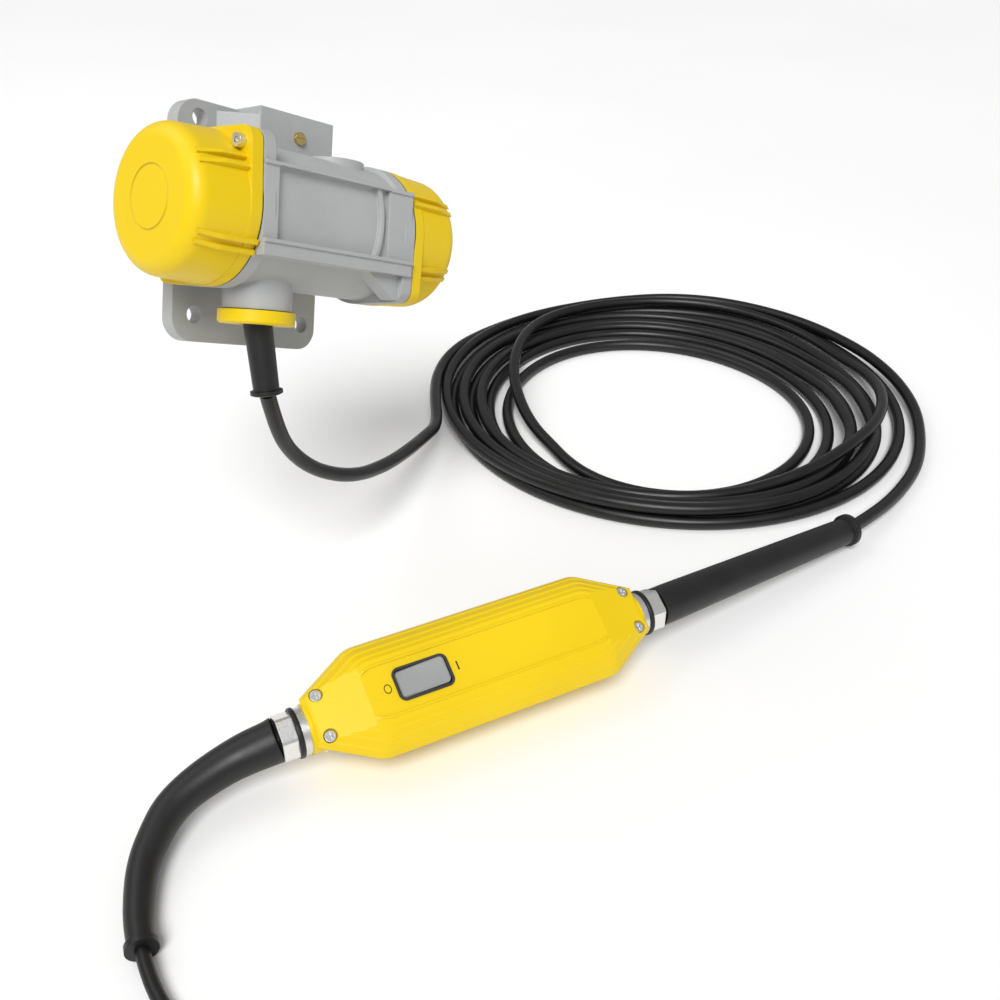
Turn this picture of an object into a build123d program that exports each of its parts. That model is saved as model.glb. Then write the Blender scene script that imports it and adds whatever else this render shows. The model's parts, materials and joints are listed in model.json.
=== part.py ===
from build123d import *
import math
import os

# External concrete vibrator: an unbalance motor on a bolted base, a lead to an in-line
# frequency converter, and a mains lead with a plug. Millimetres, +Z up.
# The motor is drawn in its own axes (X along the rotor, +Y out of the base, Z up the
# front), then leaned into the pose in which its base holds it. The origin is the centre
# of the base's four holes, on the base face.

os.makedirs("parts", exist_ok=True)

# ---- how the motor is held, and the surface that the leads lie on
ROLL = 22.8  # rotor axis below the horizontal, degrees
LEAN = -15.6  # base tipped back, degrees
FLOOR = -266.0

# ---- motor
HOLES_ALONG = 90.0
HOLES_ACROSS = 125.0
HOLE_R = 5.5
TAPPED_X = 40.0  # the fourth hole stands 5 mm in from the pattern
TAP_R = 4.25
TAP_DEPTH = 22.0
PLATE_T = 11.0
PLATE_LEFT = -61.5
PLATE_RIGHT = 57.5
PLATE_TOP = 73.5
PLATE_BOTTOM = -80.0
PLATE_ROUND = 15.0
BLOCK_X = 18.0
BLOCK_FRONT = -32.0
BLOCK_HALF_X = 31.0
BLOCK_LOW = 43.0
BLOCK_TOP = 75.0
RAMP_LEN = 20.0
EARTH_X = 19.0
AXIS_Y = -56.0
BODY_HALF = 63.5
BARREL_R = 44.0
STATOR_BORE_R = 39.0
FRONT_Y = -102.0
BAND_Z = 27.0
LEDGE_TOP = -18.0
LEDGE_BOTTOM = -28.0
PANEL_LEFT = -52.0
PANEL_RIGHT = 39.0
PANEL_TOP = 25.0
PANEL_DEPTH = 4.2
FRONT_RIGHT = 60.5
LIP = 1.2
RIDGE_X = 36.0
RIDGE_R = 60.0
FLANGE_R = 46.5
FLANGE_T = 9.0
EAR_OFF = 35.9
EAR_R = 9.3
GASKET_T = 0.8
CAP_DEPTH = 45.2
CAP_WALL = 3.0
CAP_ROUND = 10.0
CAP_DRAFT = 1.8
RING_MARK_R = 19.3

# ---- rotor and unbalance
SHAFT_R = 8.5
SHAFT_HALF = 98.0
BEARING_R = 20.0
BEARING_W = 12.0
SHIELD_T = 14.0
ROTOR_R = 21.7
STACK_HALF = 27.0
WEIGHT_R = 36.0
WEIGHT_T = 11.0

# ---- terminal turret and sleeve
TURRET_X = -29.5
TURRET_R = 22.0
COVER_R = 24.5
COVER_TOP = -58.6
COVER_T = 8.6
CAVITY_R = 17.0
SLEEVE_LEAN = 12.0  # degrees off the turret's axis
SLEEVE_LEN = 43.5
LEAD_R = 5.4

# ---- converter, in axes along it, across its face and out of its face
CONV_X = -25.0
CONV_Y = -248.0
CONV_YAW = -19.27
FACE_TILT = 30.0
SHELL_LEN = 240.0
SHELL_HALF_W = 37.6
SHELL_WIDEST = 13.0  # height of the widest line above the nuts' axis
SHELL_FACE = 27.2
SHELL_BOTTOM = -25.0
SHELL_WALL = 4.0
SHELL_TAPER = 37.0
SHELL_END_HALF = 16.0
SIDE_DRAFT = 17.0
END_SLOPE = 15.0
SWITCH_X = -45.7
MAINS_R = 4.1
AXIS_HEIGHT = 33.6

HELD = Rot(0, ROLL, 0) * Rot(LEAN, 0, 0)
AXIS_LINE = Axis((0, AXIS_Y, 0), (1, 0, 0))


def save(piece, name):
    """Labels a finished piece and writes its STEP."""
    piece.part.label = name
    export_step(piece.part, f"parts/{name}.step")


def save_held(piece, name):
    """The same for a motor piece, turned into the held pose."""
    piece.part.move(HELD)
    save(piece, name)


def yz_at(x):
    """A sketch plane square to the rotor at x, its local axes along Y and Z."""
    return Plane(origin=(x, AXIS_Y, 0), x_dir=(0, 1, 0), z_dir=(1, 0, 0))


def ear_points(signs):
    return [(EAR_OFF * a, EAR_OFF * b) for a, b in signs]


# each cap is fastened at two opposite corners
LEFT_EARS = [(-1, 1), (1, -1)]
RIGHT_EARS = [(-1, -1), (1, 1)]
EAR_SETS = {-1: LEFT_EARS, 1: RIGHT_EARS}
SIDES = {"left": -1, "right": 1}


# ================= motor housing =================
with BuildPart() as housing:
    # barrel, with the saddle that joins it to the base plate
    with BuildSketch(yz_at(-BODY_HALF)):
        Circle(BARREL_R)
        with Locations((-AXIS_Y / 2 - 3, 0)):
            Rectangle(-AXIS_Y - 6, 72)
    extrude(amount=2 * BODY_HALF)
    # flat front block: band above, panel, ledge below
    front_len = FRONT_RIGHT + BODY_HALF
    front_mid = (FRONT_RIGHT - BODY_HALF) / 2
    with Locations((front_mid, (FRONT_Y + AXIS_Y) / 2, (BAND_Z + LEDGE_BOTTOM) / 2)):
        Box(front_len, AXIS_Y - FRONT_Y, BAND_Z - LEDGE_BOTTOM)
    with Locations((front_mid, FRONT_Y + 6, (LEDGE_TOP + LEDGE_BOTTOM) / 2)):
        Box(front_len, 16, LEDGE_TOP - LEDGE_BOTTOM)
    # lips along the band's top and the ledge's top
    with Locations((front_mid, FRONT_Y - 2, LEDGE_TOP - 1.2)):
        Box(front_len, 2 * LIP, 2.4)
    with Locations((front_mid, FRONT_Y, BAND_Z - 1.2)):
        Box(front_len, 2 * LIP, 2.4)
    # web from the ledge's underside out to the lower front ear
    with BuildSketch(Plane(origin=(0, FRONT_Y + 4, 0), x_dir=(1, 0, 0), z_dir=(0, -1, 0))):
        Polygon(
            (26, LEDGE_BOTTOM + 1),
            (BODY_HALF - 2, LEDGE_BOTTOM + 1),
            (BODY_HALF - 2, -44),
            (50, -44),
            align=None,
        )
    extrude(amount=-12)
    # end flanges with the cap-screw ears
    for x in (-BODY_HALF, BODY_HALF - FLANGE_T):
        side = -1 if x < 0 else 1
        with BuildSketch(yz_at(x)):
            Circle(FLANGE_R)
            with Locations(*ear_points(EAR_SETS[side])):
                Circle(EAR_R)
            make_hull()
        extrude(amount=FLANGE_T)
    # base plate with its raised block for the earth screw
    with BuildSketch(Plane(origin=(0, 0, 0), x_dir=(1, 0, 0), z_dir=(0, -1, 0))):
        with Locations(((PLATE_LEFT + PLATE_RIGHT) / 2, (PLATE_TOP + PLATE_BOTTOM) / 2)):
            RectangleRounded(PLATE_RIGHT - PLATE_LEFT, PLATE_TOP - PLATE_BOTTOM, PLATE_ROUND)
    extrude(amount=PLATE_T)
    with BuildSketch(Plane.XY.offset(BLOCK_LOW)):
        Polygon(
            (BLOCK_X - BLOCK_HALF_X, BLOCK_FRONT),
            (BLOCK_X + BLOCK_HALF_X, BLOCK_FRONT),
            (BLOCK_X + BLOCK_HALF_X, -PLATE_T / 2),
            (BLOCK_X - BLOCK_HALF_X, -PLATE_T / 2),
            align=None,
        )
    extrude(amount=BLOCK_TOP - BLOCK_LOW)
    # the block runs out to the left in a ramp
    with BuildSketch(Plane.XY.offset(BLOCK_LOW)):
        Polygon(
            (BLOCK_X - BLOCK_HALF_X + 1, BLOCK_FRONT),
            (BLOCK_X - BLOCK_HALF_X + 1, -PLATE_T + 1),
            (BLOCK_X - BLOCK_HALF_X - RAMP_LEN, -PLATE_T + 1),
            align=None,
        )
    extrude(amount=PLATE_TOP - BLOCK_LOW - 4)
    # hump behind the top edge, over the stator's terminals
    with Locations((30, AXIS_Y, 36)):
        Cylinder(20, 18)
    # terminal turret below
    with Locations((TURRET_X, AXIS_Y, -44)):
        Cylinder(TURRET_R, 28)
    # bores
    with BuildSketch(yz_at(-BODY_HALF)):
        Circle(STATOR_BORE_R)
    extrude(amount=2 * BODY_HALF, mode=Mode.SUBTRACT)
    with Locations((TURRET_X, AXIS_Y, -44)):
        Cylinder(CAVITY_R, 30, mode=Mode.SUBTRACT)
    # recessed front panel
    with Locations(
        ((PANEL_LEFT + PANEL_RIGHT) / 2, FRONT_Y, (PANEL_TOP + LEDGE_TOP) / 2)
    ):
        Box(PANEL_RIGHT - PANEL_LEFT, 2 * PANEL_DEPTH, PANEL_TOP - LEDGE_TOP, mode=Mode.SUBTRACT)
    # curved ridge at the panel's right end
    with BuildSketch(Plane(origin=(0, FRONT_Y + PANEL_DEPTH + 1, 0), x_dir=(1, 0, 0), z_dir=(0, -1, 0))):
        with Locations((RIDGE_X - RIDGE_R, (PANEL_TOP + LEDGE_TOP) / 2)):
            Circle(RIDGE_R)
            Circle(RIDGE_R - 3.2, mode=Mode.SUBTRACT)
        with Locations((RIDGE_X, (PANEL_TOP + LEDGE_TOP) / 2)):
            Rectangle(24, PANEL_TOP - LEDGE_TOP, mode=Mode.INTERSECT)
    extrude(amount=PANEL_DEPTH)
    # base holes: three through the plate, and a tapped one into the back of the block
    through = [(-HOLES_ALONG / 2, HOLES_ACROSS / 2)]
    through += [(x, -HOLES_ACROSS / 2) for x in (-HOLES_ALONG / 2, HOLES_ALONG / 2)]
    with Locations(*[(x, -PLATE_T, z) for x, z in through]):
        Cylinder(HOLE_R, 3 * PLATE_T, rotation=(90, 0, 0), mode=Mode.SUBTRACT)
    with Locations((TAPPED_X, 0, HOLES_ACROSS / 2)):
        Cylinder(TAP_R, 2 * TAP_DEPTH, rotation=(90, 0, 0), mode=Mode.SUBTRACT)
    # earth screw hole in the block's face
    with Locations((EARTH_X, BLOCK_FRONT, 60)):
        Cylinder(2.0, 24, rotation=(90, 0, 0), mode=Mode.SUBTRACT)
    # tapped holes for the cap screws
    for side, ears in EAR_SETS.items():
        with BuildSketch(yz_at(side * BODY_HALF)):
            with Locations(*ear_points(ears)):
                Circle(2.1)
        extrude(amount=-side * FLANGE_T, mode=Mode.SUBTRACT)
save_held(housing, "motor_housing")

# ================= caps, gaskets and their screws =================
for side_name, side in SIDES.items():
    rim_x = side * (BODY_HALF + GASKET_T)
    face_x = side * (BODY_HALF + GASKET_T + CAP_DEPTH)
    with BuildPart() as gasket:
        with BuildSketch(yz_at(side * BODY_HALF)):
            Circle(FLANGE_R)
            with Locations(*ear_points(EAR_SETS[side])):
                Circle(EAR_R - 0.5)
            Circle(STATOR_BORE_R + 2, mode=Mode.SUBTRACT)
            with Locations(*ear_points(EAR_SETS[side])):
                Circle(2.8, mode=Mode.SUBTRACT)
        extrude(amount=side * GASKET_T)
    save_held(gasket, f"{side_name}_cap_gasket")

    with BuildPart() as cap:
        with BuildSketch(Plane(origin=(0, AXIS_Y, 0), x_dir=(side, 0, 0), z_dir=(0, -side, 0))):
            near = side * rim_x
            far = side * face_x
            with BuildLine():
                Polyline(
                    (near, STATOR_BORE_R + 3),
                    (near, FLANGE_R),
                    (far - CAP_ROUND, FLANGE_R - CAP_DRAFT),
                )
                TangentArc(
                    (far - CAP_ROUND, FLANGE_R - CAP_DRAFT),
                    (far, FLANGE_R - CAP_DRAFT - CAP_ROUND),
                    tangent=(1, -0.05),
                )
                Polyline(
                    (far, FLANGE_R - CAP_DRAFT - CAP_ROUND),
                    (far, 0),
                    (far - CAP_WALL, 0),
                    (far - CAP_WALL, FLANGE_R - CAP_DRAFT - CAP_ROUND),
                    (far - CAP_ROUND, STATOR_BORE_R + 2),
                    (near, STATOR_BORE_R + 3),
                )
            make_face()
        revolve(axis=AXIS_LINE)
        # ears over the two screws
        with BuildSketch(yz_at(rim_x)):
            Circle(FLANGE_R)
            with Locations(*ear_points(EAR_SETS[side])):
                Circle(EAR_R)
            make_hull()
            Circle(STATOR_BORE_R + 3, mode=Mode.SUBTRACT)
        extrude(amount=side * 8)
        # pairs of ribs that fade towards the face
        for angle in (146, 154, 206, 214):
            radial = (0, math.cos(math.radians(angle)), math.sin(math.radians(angle)))
            rib_plane = Plane(
                origin=(rim_x, AXIS_Y, 0),
                x_dir=(side, 0, 0),
                z_dir=(0, -side * radial[2], side * radial[1]),
            )
            height = 1 if rib_plane.y_dir.dot(Vector(*radial)) > 0 else -1
            with BuildSketch(rib_plane):
                Polygon(
                    (0, height * 44.5),
                    (0, height * 49.2),
                    (24, height * 48.6),
                    (40, height * 45.0),
                    (40, height * 44.5),
                    align=None,
                )
            extrude(amount=1.5, both=True)
        # shallow ring on the face
        with BuildSketch(yz_at(face_x)):
            Circle(RING_MARK_R)
            Circle(RING_MARK_R - 1.2, mode=Mode.SUBTRACT)
        extrude(amount=-side * 0.6, mode=Mode.SUBTRACT)
        # screw holes with counterbores
        with BuildSketch(yz_at(rim_x)):
            with Locations(*ear_points(EAR_SETS[side])):
                Circle(2.8)
        extrude(amount=side * 8, mode=Mode.SUBTRACT)
    save_held(cap, f"{side_name}_end_cap")

    with BuildPart() as cap_screws:
        head_x = rim_x + side * 8
        with BuildSketch(yz_at(head_x)):
            with Locations(*ear_points(EAR_SETS[side])):
                Circle(4.2)
        extrude(amount=side * 4.5)
        with BuildSketch(yz_at(head_x + side * 4.5)):
            with Locations(*ear_points(EAR_SETS[side])):
                RegularPolygon(2.1, 6)
        extrude(amount=-side * 2.5, mode=Mode.SUBTRACT)
        with BuildSketch(yz_at(head_x)):
            with Locations(*ear_points(EAR_SETS[side])):
                Circle(2.1)
        extrude(amount=-side * 16)
    save_held(cap_screws, f"{side_name}_cap_screws")

# ================= bearings and their shields =================
SHIELD_OUT = BODY_HALF - 1.0
SHIELD_IN = SHIELD_OUT - SHIELD_T
BEARING_OUT = SHIELD_OUT - 1.0
RACE_IN_R = 12.0
RACE_OUT_R = 16.0
BALL_R = 3.6
BALLS = 8


def ring_between(side, x_in, x_out, r_in, r_out):
    """A plain ring round the rotor axis, between two distances from the middle of one side."""
    with BuildPart() as ring:
        with BuildSketch(yz_at(side * x_in)):
            Circle(r_out)
            Circle(r_in, mode=Mode.SUBTRACT)
        extrude(amount=side * (x_out - x_in))
    return ring


for side_name, side in SIDES.items():
    with BuildPart() as shield:
        with BuildSketch(yz_at(side * SHIELD_IN)):
            Circle(STATOR_BORE_R)
        extrude(amount=side * SHIELD_T)
        with BuildSketch(yz_at(side * SHIELD_OUT)):
            Circle(BEARING_R)
        extrude(amount=-side * (BEARING_W + 1), mode=Mode.SUBTRACT)
        with BuildSketch(yz_at(side * SHIELD_IN)):
            Circle(SHAFT_R + 2.5)
        extrude(amount=side * SHIELD_T, mode=Mode.SUBTRACT)
    save_held(shield, f"{side_name}_bearing_shield")

    bearing_in = BEARING_OUT - BEARING_W
    outer = ring_between(side, bearing_in, BEARING_OUT, RACE_OUT_R, BEARING_R)
    ball_circle = (RACE_IN_R + RACE_OUT_R) / 2
    groove = Location((side * (bearing_in + BEARING_W / 2), AXIS_Y, 0), (0, 90, 0))
    with outer:
        with Locations(groove):
            Torus(ball_circle, BALL_R + 0.02, mode=Mode.SUBTRACT)
    save_held(outer, f"{side_name}_bearing_outer_ring")
    inner = ring_between(side, bearing_in, BEARING_OUT, SHAFT_R, RACE_IN_R)
    with inner:
        with Locations(groove):
            Torus(ball_circle, BALL_R + 0.02, mode=Mode.SUBTRACT)
    save_held(inner, f"{side_name}_bearing_inner_ring")
    with BuildPart() as balls:
        with BuildSketch(yz_at(side * (bearing_in + BEARING_W / 2))):
            with PolarLocations(ball_circle, BALLS):
                Circle(0.1)
        ball_spots = [face.center() for face in balls.pending_faces]
        balls.pending_faces.clear()
        with Locations(*ball_spots):
            Sphere(BALL_R)
    save_held(balls, f"{side_name}_bearing_balls")

# ================= stator, rotor, shaft =================
with BuildPart() as stator:
    with BuildSketch(yz_at(-STACK_HALF)):
        Circle(STATOR_BORE_R)
        Circle(ROTOR_R + 0.5, mode=Mode.SUBTRACT)
        with PolarLocations(28.5, 12):
            SlotOverall(9, 5, mode=Mode.SUBTRACT)
    extrude(amount=2 * STACK_HALF)
save_held(stator, "stator_core")

with BuildPart() as windings:
    for side in SIDES.values():
        with BuildSketch(yz_at(side * (STACK_HALF + 0.3))):
            Circle(35.0)
            Circle(24.5, mode=Mode.SUBTRACT)
        extrude(amount=side * 15)
    fillet(windings.edges().filter_by(GeomType.CIRCLE), 2.5)
save_held(windings, "stator_windings")

with BuildPart() as rotor:
    with BuildSketch(yz_at(-STACK_HALF)):
        Circle(ROTOR_R)
        Circle(SHAFT_R + 2.0, mode=Mode.SUBTRACT)
    extrude(amount=2 * STACK_HALF)
    for side in SIDES.values():
        with BuildSketch(yz_at(side * STACK_HALF)):
            Circle(ROTOR_R - 1.2)
            Circle(ROTOR_R - 6, mode=Mode.SUBTRACT)
        extrude(amount=side * 5)
save_held(rotor, "rotor_core")

with BuildPart() as shaft:
    with BuildSketch(yz_at(-SHAFT_HALF)):
        Circle(SHAFT_R)
    extrude(amount=2 * SHAFT_HALF)
    with BuildSketch(yz_at(-STACK_HALF - 8)):
        Circle(SHAFT_R + 2.0)
    extrude(amount=2 * STACK_HALF + 16)
    chamfer(shaft.edges().filter_by(GeomType.CIRCLE).group_by(Axis.X)[0], 1)
    chamfer(shaft.edges().filter_by(GeomType.CIRCLE).group_by(Axis.X)[-1], 1)
    # keyways and circlip grooves
    for side in SIDES.values():
        with Locations((side * 79, AXIS_Y, SHAFT_R - 0.5)):
            Box(26, 5, 5, mode=Mode.SUBTRACT)
        with BuildSketch(yz_at(side * 94.5)):
            Circle(SHAFT_R + 1)
            Circle(SHAFT_R - 0.8, mode=Mode.SUBTRACT)
        extrude(amount=side * 1.3, mode=Mode.SUBTRACT)
save_held(shaft, "rotor_shaft")


def weight_face(sweep):
    """A sector weight hanging below the shaft, with a hub ring and a keyway."""
    reach = 2 * WEIGHT_R
    corners = [(0, 0)]
    for angle in (270 - sweep / 2, 270, 270 + sweep / 2):
        corners.append((reach * math.cos(math.radians(angle)), reach * math.sin(math.radians(angle))))
    Circle(WEIGHT_R)
    Polygon(*corners, align=None, mode=Mode.INTERSECT)
    Circle(SHAFT_R + 7)
    Circle(SHAFT_R, mode=Mode.SUBTRACT)
    with Locations((0, SHAFT_R)):
        Rectangle(5, 4, mode=Mode.SUBTRACT)


FIXED_X = 66.5
SPACER_X = FIXED_X + WEIGHT_T
OUTER_X = SPACER_X + 1.5
CIRCLIP_X = 94.6
for side_name, side in SIDES.items():
    with BuildPart() as fixed_weight:
        with BuildSketch(yz_at(side * FIXED_X)):
            weight_face(170)
        extrude(amount=side * WEIGHT_T)
    save_held(fixed_weight, f"{side_name}_fixed_weight")
    with BuildPart() as outer_weight:
        with BuildSketch(yz_at(side * OUTER_X)):
            weight_face(150)
        extrude(amount=side * WEIGHT_T)
    save_held(outer_weight, f"{side_name}_outer_weight")

with BuildPart() as weight_spacers:
    for side in SIDES.values():
        with BuildSketch(yz_at(side * SPACER_X)):
            Circle(SHAFT_R + 6)
            Circle(SHAFT_R + 2.6, mode=Mode.SUBTRACT)
        extrude(amount=side * 1.5)
save_held(weight_spacers, "weight_spacers")

with BuildPart() as weight_keys:
    for side in SIDES.values():
        with Locations((side * (SPACER_X + 0.5), AXIS_Y, SHAFT_R - 0.5)):
            Box(22, 5, 4.9)
save_held(weight_keys, "weight_keys")

with BuildPart() as circlips:
    for side in SIDES.values():
        with BuildSketch(yz_at(side * CIRCLIP_X)):
            Circle(SHAFT_R + 3)
            Circle(SHAFT_R - 0.75, mode=Mode.SUBTRACT)
            with Locations((0, SHAFT_R + 1)):
                Rectangle(3, 6, mode=Mode.SUBTRACT)
        extrude(amount=side * 1.1)
save_held(circlips, "shaft_circlips")

# ================= terminal turret =================
with BuildPart() as cover_seal:
    with Locations((TURRET_X, AXIS_Y, COVER_TOP + 0.3)):
        Cylinder(TURRET_R - 0.5, 0.6)
        Cylinder(CAVITY_R + 1, 0.6, mode=Mode.SUBTRACT)
save_held(cover_seal, "terminal_cover_seal")

SLEEVE_HEAD_R = 9.4
with BuildPart() as terminal_cover:
    with Locations((TURRET_X, AXIS_Y, COVER_TOP - COVER_T / 2)):
        Cylinder(COVER_R, COVER_T)
    chamfer(terminal_cover.edges().group_by(Axis.Z)[0], 1.2)
    with Locations((TURRET_X, AXIS_Y, COVER_TOP - COVER_T / 2)):
        Cylinder(SLEEVE_HEAD_R + 1.5, COVER_T + 2, mode=Mode.SUBTRACT)
save_held(terminal_cover, "terminal_cover")

with BuildPart() as terminal_block:
    with Locations((TURRET_X, AXIS_Y, -43)):
        Box(24, 14, 5)
    with Locations((TURRET_X, AXIS_Y, -47.5)):
        with GridLocations(7, 0, 3, 1):
            Box(5.5, 10, 5)
    with Locations((TURRET_X, AXIS_Y, -49)):
        with GridLocations(7, 0, 3, 1):
            Cylinder(1.6, 4, mode=Mode.SUBTRACT)
save_held(terminal_block, "terminal_block")

with BuildPart() as terminal_screws:
    with Locations((TURRET_X, AXIS_Y, -48.6)):
        with GridLocations(7, 0, 3, 1):
            Cylinder(1.6, 3.1)
save_held(terminal_screws, "terminal_screws")

with BuildPart() as earth_screw:
    with Locations((EARTH_X, BLOCK_FRONT - 1.3, 60)):
        Cylinder(4.2, 2.6, rotation=(90, 0, 0))
    with Locations((EARTH_X, BLOCK_FRONT - 2.6, 60)):
        Box(9, 1.6, 1.0, mode=Mode.SUBTRACT)
    with Locations((EARTH_X, BLOCK_FRONT + 4.8, 60)):
        Cylinder(2.0, 9.6, rotation=(90, 0, 0))
save_held(earth_screw, "earth_screw")

# The sleeve leaves the cover at a slant; its bore takes the lead.
SLEEVE_TOP = Vector(TURRET_X, AXIS_Y, COVER_TOP - 2)
SLEEVE_DIR = Vector(
    math.sin(math.radians(SLEEVE_LEAN)), 0, -math.cos(math.radians(SLEEVE_LEAN))
)
SLEEVE_END = SLEEVE_TOP + SLEEVE_DIR * (SLEEVE_LEN + COVER_T)
sleeve_plane = Plane(origin=SLEEVE_TOP, x_dir=(0, 1, 0), z_dir=SLEEVE_DIR.cross(Vector(0, 1, 0)))
with BuildPart() as lead_sleeve:
    with BuildSketch(sleeve_plane):
        along = 1 if sleeve_plane.y_dir.dot(SLEEVE_DIR) > 0 else -1
        total = SLEEVE_LEN + COVER_T
        Polygon(
            (LEAD_R, 0),
            (SLEEVE_HEAD_R, 0),
            (SLEEVE_HEAD_R - 0.9, along * (total - 4)),
            (SLEEVE_HEAD_R + 1.2, along * (total - 3.2)),
            (SLEEVE_HEAD_R + 1.2, along * (total - 0.8)),
            (SLEEVE_HEAD_R - 0.6, along * total),
            (LEAD_R, along * total),
            align=None,
        )
    revolve(axis=Axis(SLEEVE_TOP, SLEEVE_DIR))
save_held(lead_sleeve, "lead_sleeve")

# ================= converter =================
CONVERTER = Pos(CONV_X, CONV_Y, FLOOR + AXIS_HEIGHT) * Rot(0, 0, CONV_YAW) * Rot(FACE_TILT, 0, 0)


def save_converter(piece, name):
    """Puts a converter piece, drawn along X with its face up, where it lies."""
    piece.part.move(CONVERTER)
    save(piece, name)


def shell_outline(inset, corner=20.0):
    """The shell's long outline, drawn in to a blunt point at both ends, that far inside the widest one."""
    half = SHELL_HALF_W - inset
    straight = SHELL_LEN / 2 - SHELL_TAPER - 0.25 * inset
    end = SHELL_LEN / 2 - inset
    end_half = SHELL_END_HALF - 0.6 * inset
    outline = Polygon(
        (-end, -end_half),
        (-straight, -half),
        (straight, -half),
        (end, -end_half),
        (end, end_half),
        (straight, half),
        (-straight, half),
        (-end, end_half),
        align=None,
    )
    fillet(outline.vertices().filter_by(lambda v: abs(abs(v.X) - straight) < 0.1), corner)


# terraces of the face side: height, inset there, and the draft of the wall above
TERRACES = [(SHELL_WIDEST, 0.0, 32.0), (18.0, 4.0, 42.0), (22.5, 9.2, 50.0), (25.5, 14.0, 55.0)]
SCREW_X = SHELL_LEN / 2 - 9.5
SHELL_SCREWS = [(x, y) for x in (-SCREW_X, SCREW_X) for y in (-13.4, 13.4)]
RECESS_FLOOR = 15.0

with BuildPart() as cavity:
    with BuildSketch(Plane.XY.offset(SHELL_WIDEST)):
        shell_outline(SHELL_WALL)
    extrude(amount=10, taper=48)
    with BuildSketch(Plane.XY.offset(SHELL_WIDEST)):
        shell_outline(SHELL_WALL)
    extrude(amount=SHELL_BOTTOM + SHELL_WALL - SHELL_WIDEST, taper=SIDE_DRAFT)
    for side in SIDES.values():
        with Locations(Location((side * 78, 0, SHELL_FACE + 1.3 - SHELL_WALL), (0, side * END_SLOPE, 0))):
            with Locations((side * 60, 0, 15)):
                Box(120, 120, 30, mode=Mode.SUBTRACT)
    # pillars round the corner screws stay solid
    with Locations(*[(x, y, 0) for x, y in SHELL_SCREWS]):
        Cylinder(5.4, 80, mode=Mode.SUBTRACT)

for shell_name, keep in (("converter_top_shell", Keep.TOP), ("converter_bottom_shell", Keep.BOTTOM)):
    with BuildPart() as shell:
        with BuildSketch(Plane.XY.offset(SHELL_WIDEST)):
            shell_outline(0)
        extrude(amount=SHELL_BOTTOM - SHELL_WIDEST, taper=SIDE_DRAFT)
        fillet(shell.edges().group_by(Axis.Z)[0], 4)
        tops = [height for height, inset, draft in TERRACES[1:]] + [SHELL_FACE]
        for (height, inset, draft), top in zip(TERRACES, tops):
            with BuildSketch(Plane.XY.offset(height)):
                shell_outline(inset)
            extrude(amount=top - height, taper=draft)
        # raised line round the face panel
        with BuildSketch(Plane.XY.offset(SHELL_FACE)):
            shell_outline(19.6)
        extrude(amount=0.8, taper=20)
        with BuildSketch(Plane.XY.offset(SHELL_FACE)):
            shell_outline(21.4)
        extrude(amount=0.8, mode=Mode.SUBTRACT)
        # the face falls away to both ends
        for side in SIDES.values():
            with Locations(Location((side * 78, 0, SHELL_FACE + 1.3), (0, side * END_SLOPE, 0))):
                with Locations((side * 60, 0, 15)):
                    Box(120, 120, 30, mode=Mode.SUBTRACT)
        # round bosses where the glands go in
        Cylinder(16.2, SHELL_LEN, rotation=(0, 90, 0))
        add(cavity.part, mode=Mode.SUBTRACT)
        Cylinder(11.5, SHELL_LEN + 4, rotation=(0, 90, 0), mode=Mode.SUBTRACT)
        # window for the rocker's frame
        with BuildSketch(Plane.XY.offset(SHELL_FACE - 10)):
            with Locations((SWITCH_X, 0)):
                RectangleRounded(36.2, 20.8, 4.0)
        extrude(amount=14, mode=Mode.SUBTRACT)
        # holes and recesses for the corner screws
        with Locations(*[(x, y, 0) for x, y in SHELL_SCREWS]):
            Cylinder(1.9, 80, mode=Mode.SUBTRACT)
        with Locations(*[(x, y, RECESS_FLOOR + 8) for x, y in SHELL_SCREWS]):
            Cylinder(4.3, 16, mode=Mode.SUBTRACT)
        split(bisect_by=Plane.XY, keep=keep)
    save_converter(shell, shell_name)

with BuildPart() as shell_screws:
    with Locations(*[(x, y, RECESS_FLOOR + 1.4) for x, y in SHELL_SCREWS]):
        Cylinder(3.6, 2.8)
        with Locations((0, 0, 1.4)):
            Box(4.6, 0.9, 1.4, mode=Mode.SUBTRACT)
            Box(0.9, 4.6, 1.4, mode=Mode.SUBTRACT)
    with Locations(*[(x, y, RECESS_FLOOR - 12.5) for x, y in SHELL_SCREWS]):
        Cylinder(1.9, 25)
save_converter(shell_screws, "converter_screws")

with BuildPart() as switch_frame:
    with BuildSketch(Plane.XY.offset(SHELL_FACE)):
        with Locations((SWITCH_X, 0)):
            RectangleRounded(37.4, 22.0, 4.8)
    extrude(amount=1.0)
    with BuildSketch(Plane.XY.offset(SHELL_FACE - 10)):
        with Locations((SWITCH_X, 0)):
            RectangleRounded(36.0, 20.6, 3.9)
    extrude(amount=10)
    with BuildSketch(Plane.XY.offset(SHELL_FACE - 11)):
        with Locations((SWITCH_X, 0)):
            RectangleRounded(34.0, 18.6, 3.0)
    extrude(amount=13, mode=Mode.SUBTRACT)
save_converter(switch_frame, "switch_frame")

with BuildPart() as switch_body:
    with Locations((SWITCH_X, 0, SHELL_FACE - 18)):
        Box(34, 16, 12)
    with Locations((SWITCH_X, 0, SHELL_FACE - 26)):
        with GridLocations(12, 6, 2, 2):
            Box(4, 0.9, 4)
save_converter(switch_body, "switch_body")

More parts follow.
